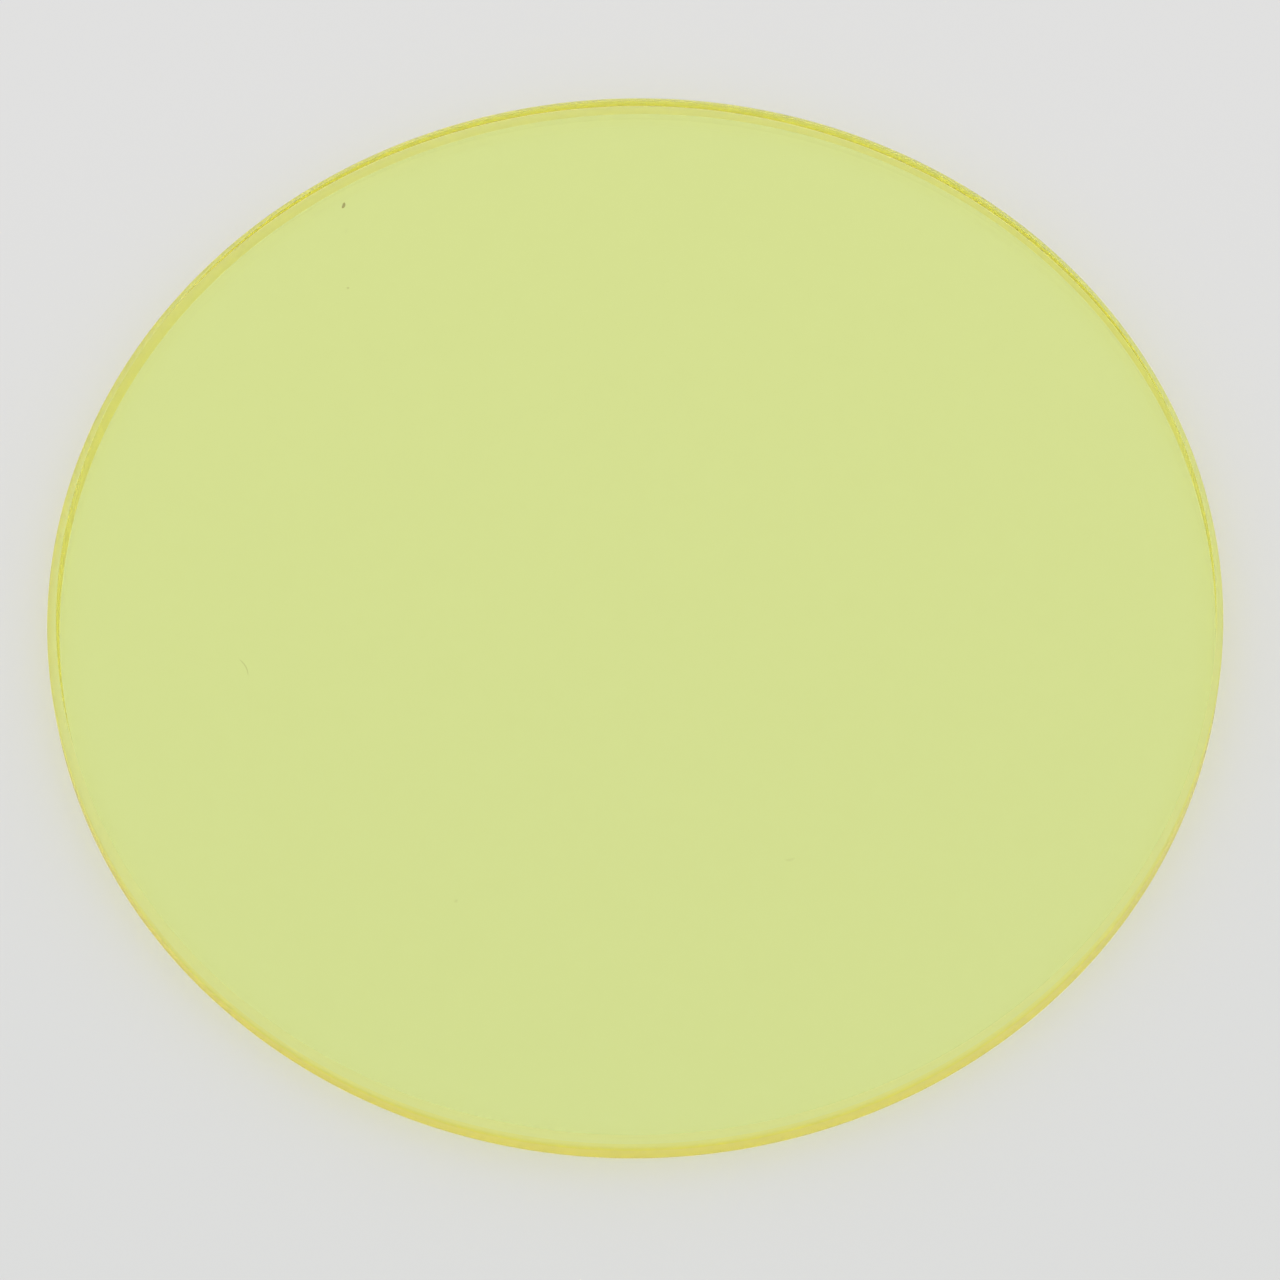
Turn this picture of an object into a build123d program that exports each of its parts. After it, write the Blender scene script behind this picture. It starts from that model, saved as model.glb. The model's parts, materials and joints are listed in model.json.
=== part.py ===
from build123d import *
import os

# Round tinted glass filter for a microscope, made from one piece of glass:
# two flat polished faces, a ground rim, and a ground bevel round each face.
# Sizes are in millimetres. The origin is the centre of the underside, and
# +Z is the filter's optical axis.

# Driving dimensions
filter_diameter = 45.0
glass_thickness = 1.7
upper_bevel_width = 0.33
upper_bevel_height = 0.33
lower_bevel_width = 0.33
lower_bevel_height = 0.33

# Places on the section
rim_radius = filter_diameter / 2
upper_face_radius = rim_radius - upper_bevel_width
lower_face_radius = rim_radius - lower_bevel_width
rim_top = glass_thickness - upper_bevel_height
rim_bottom = lower_bevel_height


def half_section():
    """The glass cut along its axis, from the centre line out to the rim."""
    with BuildSketch(Plane.XZ) as section:
        with BuildLine():
            Polyline(
                (0, 0),
                (lower_face_radius, 0),
                (rim_radius, rim_bottom),
                (rim_radius, rim_top),
                (upper_face_radius, glass_thickness),
                (0, glass_thickness),
                close=True,
            )
        make_face()
    return section.sketch


def filter_disc():
    """The section turned a full circle about the optical axis."""
    return revolve(half_section(), axis=Axis.Z, revolution_arc=360)


os.makedirs("parts", exist_ok=True)
export_step(filter_disc(), "parts/filter_disc.step")
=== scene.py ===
import json
import math

import bmesh
import bpy
from mathutils import Matrix, Vector


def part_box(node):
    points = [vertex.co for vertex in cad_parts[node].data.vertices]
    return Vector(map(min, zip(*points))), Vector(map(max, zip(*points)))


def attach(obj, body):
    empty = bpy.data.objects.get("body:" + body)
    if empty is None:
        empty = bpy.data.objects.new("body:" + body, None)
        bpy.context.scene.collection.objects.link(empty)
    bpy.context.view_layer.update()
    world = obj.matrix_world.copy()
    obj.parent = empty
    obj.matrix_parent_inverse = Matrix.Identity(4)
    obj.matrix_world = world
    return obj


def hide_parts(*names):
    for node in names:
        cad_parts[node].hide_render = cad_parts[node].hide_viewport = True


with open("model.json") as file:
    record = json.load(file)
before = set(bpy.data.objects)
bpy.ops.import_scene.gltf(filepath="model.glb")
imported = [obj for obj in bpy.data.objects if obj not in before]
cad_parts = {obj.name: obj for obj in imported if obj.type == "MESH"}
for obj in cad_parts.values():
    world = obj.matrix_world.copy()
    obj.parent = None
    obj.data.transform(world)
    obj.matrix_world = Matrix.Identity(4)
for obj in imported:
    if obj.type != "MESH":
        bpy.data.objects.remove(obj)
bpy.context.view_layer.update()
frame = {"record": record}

# A round filter of clear yellow-green glass lies on pale paper under soft, even light.
# The glass is one closed mesh with one material. Numbers kept on its faces say which are
# polished, which are ground, and where a speck of dust lies.

# Sizes of the disc, in metres, from the frame
MM = 0.001
low_corner, high_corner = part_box("filter_disc")
rim_mount = next(m for m in frame["record"]["mounts"] if m["name"] == "rim")
rim_radius = (high_corner.x - low_corner.x) / 2
thickness = high_corner.z - low_corner.z
wall_height = rim_mount["dims"]["length_mm"] * MM
wall_middle = rim_mount["pos_m"][2]
lower_bevel = wall_middle - wall_height / 2
upper_bevel = thickness - wall_middle - wall_height / 2

# The bevels were ground a little off centre, so each is wider on one side. The sharp corners
# are worn to small arrises, and the upper one is worn more on the near side
lower_bevel_shift = Vector((0.09, 0.04)) * MM
upper_bevel_shift = Vector((0.05, 0.055)) * MM
arris_radius = 0.12 * MM
near_wear = 0.33 * MM
arris_turn = math.radians(45)
arris_steps = 4
turn_steps = 720
sharpest_smooth_angle = math.radians(20)

# The kinds of face, kept as numbers in the mesh's "zone" attribute
POLISHED, UPPER_BEVEL, LOWER_BEVEL, ARRIS, RIM = 0.0, 1.0, 2.0, 3.0, 4.0

# The photograph's frame, in pixels, and the camera fitted to the disc's outline in it
photo_size = 1280
outline_middle = Vector((634.93, 616.16))
pixels_per_radius = 585.8
camera_elevation = math.radians(63.123)
camera_roll = math.radians(1.635)
camera_distance = 12 * rim_radius
nearest_seen = 10 * MM

# Dust on the upper face: its pixel, its length, width and bend in millimetres, its tilt in
# degrees, and how dark it is
dust_specks = (
    ((343.7, 205.5), 0.28, 0.12, 0.01, 72, 1.0),
    ((348, 288), 0.12, 0.10, 0.0, 0, 0.28),
    ((245.7, 666.4), 0.78, 0.05, -0.09, -64, 0.30),
    ((456, 901), 0.15, 0.12, 0.0, 30, 0.14),
    ((790, 860), 0.36, 0.12, 0.05, 10, 0.11),
)
dust_outline_steps = 16
dust_lumps = 3
dust_lumpiness = 0.06
dust_colour = (0.35, 0.34, 0.12, 1)
opaque_dust = 0.5
dust_roughness = 0.6

# The glass. Absorption is for red, green and blue, for each millimetre of depth. The scatter is
# the share of light that a ground face spreads all round, and the drift is the slow change of
# the grinding on its way round the rim
glass_ior = 1.52
absorption_per_mm = (0.0005, 0.0015, 0.36)
face_tint = (0.915, 1.0, 0.99, 1)
upper_bevel_tint = (0.95, 0.98, 0.86, 1)
lower_bevel_tint = (0.98, 0.99, 0.72, 1)
arris_tint = (0.96, 0.92, 0.55, 1)
rim_tint = (0.98, 0.90, 0.98, 1)
rim_tint_pale = (1.0, 0.93, 1.0, 1)
polish_haze = 0.01
bevel_roughness = 0.55
rim_roughness = 0.5
roughness_drift = 0.12
bevel_scatter = 0.05
rim_scatter = 0.07
drift_scale = 700
drift_detail = 2.0

# The paper, the light and the backdrop. The even share is what the paper shows of its own
# colour where shadow or yellow light falls on it, so that both stay faint
# The paper's colour holds a painted falloff of light: lighter on the far side, darker on the near side
paper_colour_far_painted_light = (0.752, 0.750, 0.747, 1)
paper_colour_near_painted_shade = (0.722, 0.727, 0.721, 1)
painted_falloff_width = 56 * MM
paper_width = 4.0
paper_gap = 0.02 * MM
even_share = (0.72, 0.72, 0.42, 1)
tent_white = (1.0, 1.0, 1.0, 1)
tent_seen = (0.88, 0.89, 0.88, 1)
backdrop_turn = 0.3
backdrop_top = 0.25
tent_bottom = 0.85
light_hops = 128


def rounded(corner, radius, back, ahead, kind_round, kind_after):
    """A corner of the section worn to a small arris, between the ways back and ahead from it."""
    cut = radius * math.tan(arris_turn / 2)
    start = corner + back.normalized() * cut
    end = corner + ahead.normalized() * cut
    points = []
    for step in range(arris_steps + 1):
        u = step / arris_steps
        at = start * (1 - u) ** 2 + corner * 2 * u * (1 - u) + end * u ** 2
        points.append((at.x, at.y, kind_after if step == arris_steps else kind_round))
    return points


def section(angle):
    """The disc's edge at one angle, from the underside up: radius, height and the kind of face above."""
    outward = Vector((math.cos(angle), math.sin(angle)))
    lower = lower_bevel - outward.dot(lower_bevel_shift)
    upper = upper_bevel - outward.dot(upper_bevel_shift)
    points = [(rim_radius - lower, 0.0, LOWER_BEVEL)]
    lower_corner = Vector((rim_radius, lower))
    upper_corner = Vector((rim_radius, thickness - upper))
    worn_radius = arris_radius + near_wear * max(0, -outward.y)
    points += rounded(lower_corner, arris_radius, Vector((-1, -1)), Vector((0, 1)), RIM, RIM)
    points += rounded(upper_corner, worn_radius, Vector((0, -1)), Vector((-1, 1)), ARRIS, UPPER_BEVEL)
    points += [(rim_radius - upper, thickness, POLISHED)]
    return points


def edge_rings(bm, zone):
    """The rim and both bevels, in rings from the underside up. Gives the lowest and highest ring."""
    angles = [2 * math.pi * k / turn_steps for k in range(turn_steps)]
    sections = [section(angle) for angle in angles]
    rings = []
    for level in range(len(sections[0])):
        ring = []
        for angle, points in zip(angles, sections):
            radius, height, _ = points[level]
            place = (radius * math.cos(angle), radius * math.sin(angle), low_corner.z + height)
            ring.append(bm.verts.new(place))
        rings.append(ring)
    for level, (under, over) in enumerate(zip(rings, rings[1:])):
        for k in range(turn_steps):
            after = (k + 1) % turn_steps
            face = bm.faces.new((under[k], under[after], over[after], over[k]))
            face.smooth = True
            face[zone] = sections[0][level][2]
    return rings[0], rings[-1]


def speck_outline(centre, length, width, bend, tilt):
    """Points round a speck on the upper face: a bent, slightly lumpy oval."""
    turn = Matrix.Rotation(math.radians(tilt), 3, "Z")
    points = []
    for step in range(dust_outline_steps):
        angle = 2 * math.pi * step / dust_outline_steps
        lump = 1 + dust_lumpiness * math.sin(dust_lumps * angle + length / MM)
        along = math.cos(angle) * length / 2
        across = math.sin(angle) * width / 2 * lump + bend * math.cos(angle) ** 2
        points.append(centre + turn @ Vector((along, across, 0)))
    return points


def upper_face(bm, ring, dust, camera):
    """The flat upper face, with each speck of dust as a small face of its own in it."""
    borders = [bm.edges.get((a, b)) for a, b in zip(ring, ring[1:] + ring[:1])]
    for pixel, length, width, bend, tilt, darkness in dust_specks:
        centre = on_upper_face(camera, pixel)
        outline = speck_outline(centre, length * MM, width * MM, bend * MM, tilt)
        speck = bm.faces.new([bm.verts.new(point) for point in outline])
        speck[dust] = darkness
        borders += speck.edges
    bmesh.ops.triangle_fill(bm, edges=borders, use_beauty=True, normal=(0, 0, 1))


def disc_mesh(camera):
    """The whole disc as one closed mesh."""
    bm = bmesh.new()
    zone = bm.faces.layers.float.new("zone")
    dust = bm.faces.layers.float.new("dust")
    lowest, highest = edge_rings(bm, zone)
    bm.faces.new(lowest[::-1])
    upper_face(bm, highest, dust, camera)
    bmesh.ops.recalc_face_normals(bm, faces=bm.faces)
    mesh = bpy.data.meshes.new("glass_disc")
    bm.to_mesh(mesh)
    bm.free()
    mesh.set_sharp_from_angle(angle=sharpest_smooth_angle)
    return mesh


def camera_axes():
    """The camera's right, up and back in the frame, before its small turns."""
    forward = Vector((0, math.cos(camera_elevation), -math.sin(camera_elevation)))
    right = Vector((1, 0, 0))
    return Matrix((right, right.cross(forward), -forward))


def make_camera():
    """A long lens over the near side, turned so that the disc lies where the photograph has it."""
    focal_pixels = pixels_per_radius * camera_distance / rim_radius
    middle = photo_size / 2
    pan = math.atan((outline_middle.x - middle) / focal_pixels)
    tilt = math.atan((outline_middle.y - middle) / focal_pixels)
    turns = Matrix.Rotation(-pan, 3, "Y") @ Matrix.Rotation(-tilt, 3, "X")
    turns = turns @ Matrix.Rotation(camera_roll, 3, "Z")
    lens = bpy.data.cameras.new("camera")
    lens.lens = lens.sensor_width * focal_pixels / photo_size
    lens.clip_start = nearest_seen
    camera = bpy.data.objects.new("camera", lens)
    bpy.context.scene.collection.objects.link(camera)
    aim = Vector((0, 0, low_corner.z + lower_bevel))
    place = Matrix.Translation(aim + camera_axes()[2] * camera_distance)
    camera.matrix_world = place @ (turns @ camera_axes()).transposed().to_4x4()
    bpy.context.scene.camera = camera
    bpy.context.view_layer.update()
    return camera


def on_upper_face(camera, pixel):
    """The point of the upper face that the camera sees at a pixel of the photograph's frame."""
    focal_pixels = camera.data.lens / camera.data.sensor_width * photo_size
    ray = Vector((pixel[0] - photo_size / 2, photo_size / 2 - pixel[1], -focal_pixels))
    way = camera.matrix_world.to_3x3() @ ray
    start = camera.matrix_world.translation
    point = start + way * ((high_corner.z - start.z) / way.z)
    point.z = high_corner.z
    return point


def add_node(tree, kind, values=(), **settings):
    """A new node with its settings and, by name, the values of its sockets."""
    node = tree.nodes.new(kind)
    for name, value in settings.items():
        setattr(node, name, value)
    for socket, value in dict(values).items():
        node.inputs[socket].default_value = value
    return node


def feed(tree, socket, operand):
    """Gives a socket its value, from another socket or as a plain one."""
    if isinstance(operand, bpy.types.NodeSocket):
        tree.links.new(operand, socket)
    else:
        socket.default_value = operand


def arithmetic(tree, operation, first, second):
    """The result of a Math node for two sockets or numbers."""
    node = add_node(tree, "ShaderNodeMath", operation=operation)
    feed(tree, node.inputs[0], first)
    feed(tree, node.inputs[1], second)
    return node.outputs[0]


def blended(tree, kind, share, first, second, blend="MIX"):
    """The result of a Mix node of two numbers (FLOAT) or two colours (RGBA)."""
    node = add_node(tree, "ShaderNodeMix", data_type=kind, blend_type=blend)
    sockets = {s.name: s for s in node.inputs if s.enabled}
    feed(tree, sockets["Factor"], share)
    feed(tree, sockets["A"], first)
    feed(tree, sockets["B"], second)
    return next(s for s in node.outputs if s.enabled)


def by_zone(tree, kind, zone, choices):
    """Picks a number or colour by the face's zone, from pairs of a zone and its choice."""
    (before, picked), *others = choices
    for kind_of_face, choice in others:
        reached = arithmetic(tree, "GREATER_THAN", zone, (before + kind_of_face) / 2)
        picked = blended(tree, kind, reached, picked, choice)
        before = kind_of_face
    return picked


def seen_by_camera(tree):
    """1 for what the camera sees, also through glass, and 0 for the light that falls on the paper."""
    path = add_node(tree, "ShaderNodeLightPath").outputs
    mirrored = arithmetic(tree, "MAXIMUM", path["Is Camera Ray"], path["Is Glossy Ray"])
    seen = arithmetic(tree, "MAXIMUM", mirrored, path["Is Transmission Ray"])
    # The depth is a whole number, so below a half it is none
    not_scattered = arithmetic(tree, "LESS_THAN", path["Diffuse Depth"], 0.5)
    return arithmetic(tree, "MULTIPLY", seen, not_scattered)


def between(tree, place, axis, reach, start, end):
    """A colour that changes smoothly from start to end, between two places on one axis."""
    parts = add_node(tree, "ShaderNodeSeparateXYZ")
    feed(tree, parts.inputs[0], place)
    ends = {"From Min": reach[0], "From Max": reach[1]}
    share = add_node(tree, "ShaderNodeMapRange", ends, interpolation_type="SMOOTHSTEP")
    feed(tree, share.inputs["Value"], parts.outputs[axis])
    return blended(tree, "RGBA", share.outputs[0], start, end)


def node_material(name):
    """A material with nodes, its node tree and its main shader."""
    material = bpy.data.materials.new(name)
    material.use_nodes = True
    return material, material.node_tree, material.node_tree.nodes["Principled BSDF"]


def glass_material():
    """Clear yellow-green glass: its colour is in its depth, and its ground faces are rough."""
    material, tree, shader = node_material("filter_glass")
    shader.inputs["IOR"].default_value = glass_ior
    zone = add_node(tree, "ShaderNodeAttribute", attribute_name="zone").outputs["Fac"]
    dust = add_node(tree, "ShaderNodeAttribute", attribute_name="dust").outputs["Fac"]
    opaque = arithmetic(tree, "GREATER_THAN", dust, opaque_dust)
    place = add_node(tree, "ShaderNodeTexCoord").outputs["Object"]

    # The grinding changes slowly and faintly on its way round the rim
    noise = add_node(tree, "ShaderNodeTexNoise", {"Scale": drift_scale, "Detail": drift_detail})
    feed(tree, noise.inputs["Vector"], place)
    drift = noise.outputs["Fac"]
    uneven = arithmetic(tree, "MULTIPLY", arithmetic(tree, "SUBTRACT", drift, 0.5), roughness_drift)
    rough_bevel = arithmetic(tree, "ADD", bevel_roughness, uneven)
    rough_rim = arithmetic(tree, "ADD", rim_roughness, uneven)
    haze = arithmetic(tree, "MULTIPLY", drift, polish_haze)
    finishes = ((POLISHED, haze), (UPPER_BEVEL, rough_bevel), (ARRIS, rough_rim))
    finish = by_zone(tree, "FLOAT", zone, finishes)
    feed(tree, shader.inputs["Roughness"], blended(tree, "FLOAT", opaque, finish, dust_roughness))

    drifting_tint = blended(tree, "RGBA", drift, rim_tint, rim_tint_pale)
    tints = (
        (POLISHED, face_tint),
        (UPPER_BEVEL, upper_bevel_tint),
        (LOWER_BEVEL, lower_bevel_tint),
        (ARRIS, arris_tint),
        (RIM, drifting_tint),
    )
    tint = by_zone(tree, "RGBA", zone, tints)
    feed(tree, shader.inputs["Base Color"], blended(tree, "RGBA", dust, tint, dust_colour))
    clearness = ((POLISHED, 1.0), (UPPER_BEVEL, 1 - bevel_scatter), (ARRIS, 1 - rim_scatter))
    clear = by_zone(tree, "FLOAT", zone, clearness)
    feed(tree, shader.inputs["Transmission Weight"], blended(tree, "FLOAT", opaque, clear, 0.0))

    strongest = max(absorption_per_mm)
    kept_colour = (*(1 - share / strongest for share in absorption_per_mm), 1)
    depths = {"Density": strongest / MM, "Color": kept_colour}
    depth = add_node(tree, "ShaderNodeVolumeAbsorption", depths)
    feed(tree, tree.nodes["Material Output"].inputs["Volume"], depth.outputs[0])
    return material


def paper_material():
    """Pale paper with a painted falloff of light: a little darker on the near side."""
    material, tree, shader = node_material("pale_paper")
    place = add_node(tree, "ShaderNodeTexCoord").outputs["Object"]
    reach = (-painted_falloff_width / 2, painted_falloff_width / 2)
    colour = between(tree, place, "Y", reach, paper_colour_near_painted_shade, paper_colour_far_painted_light)
    share = blended(tree, "RGBA", seen_by_camera(tree), (0, 0, 0, 1), even_share)
    even = blended(tree, "RGBA", 1.0, colour, share, "MULTIPLY")
    feed(tree, shader.inputs["Base Color"], blended(tree, "RGBA", 1.0, colour, even, "SUBTRACT"))
    shader.inputs["Roughness"].default_value = 1.0
    shader.inputs["Specular IOR Level"].default_value = 0.0
    shader.inputs["Emission Strength"].default_value = 1.0
    feed(tree, shader.inputs["Emission Color"], even)
    return material


def make_paper():
    """The table's paper, just under the glass."""
    bm = bmesh.new()
    half = paper_width / 2
    corners = ((-half, -half), (half, -half), (half, half), (-half, half))
    bm.faces.new([bm.verts.new((x, y, low_corner.z - paper_gap)) for x, y in corners])
    mesh = bpy.data.meshes.new("paper")
    bm.to_mesh(mesh)
    bm.free()
    mesh.materials.append(paper_material())
    paper = bpy.data.objects.new("paper", mesh)
    bpy.context.scene.collection.objects.link(paper)


def make_light():
    """A white tent lights the paper. The camera and the glass see a pale backdrop low in it."""
    world = bpy.data.worlds.new("studio")
    world.use_nodes = True
    tree = world.node_tree
    around = tree.nodes["Background"]
    around.inputs["Color"].default_value = tent_white
    way = add_node(tree, "ShaderNodeTexCoord").outputs["Generated"]
    turn = (-backdrop_turn, backdrop_turn)
    # The low backdrop carries the paper's painted falloff of light, darker towards the near side
    low = between(tree, way, "Y", turn, paper_colour_near_painted_shade, paper_colour_far_painted_light)
    seen = between(tree, way, "Z", (backdrop_top, tent_bottom), low, tent_seen)
    backdrop = add_node(tree, "ShaderNodeBackground")
    feed(tree, backdrop.inputs["Color"], seen)
    mix = add_node(tree, "ShaderNodeMixShader")
    feed(tree, mix.inputs[0], seen_by_camera(tree))
    feed(tree, mix.inputs[1], around.outputs[0])
    feed(tree, mix.inputs[2], backdrop.outputs[0])
    feed(tree, tree.nodes["World Output"].inputs["Surface"], mix.outputs[0])
    world.cycles.sampling_method = "NONE"
    bpy.context.scene.world = world


def make_disc(camera):
    """The glass filter, in the place of its CAD node."""
    disc = bpy.data.objects.new("glass_disc", disc_mesh(camera))
    bpy.context.scene.collection.objects.link(disc)
    disc.data.materials.append(glass_material())
    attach(disc, "root")
    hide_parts("filter_disc")


make_disc(make_camera())
make_paper()
make_light()

scene = bpy.context.scene
scene.view_settings.view_transform = "Standard"
# Light that is totally reflected crosses the disc in many short hops before it leaves
scene.cycles.max_bounces = light_hops
scene.cycles.transmission_bounces = light_hops
scene.cycles.glossy_bounces = light_hops
scene.cycles.blur_glossy = 0
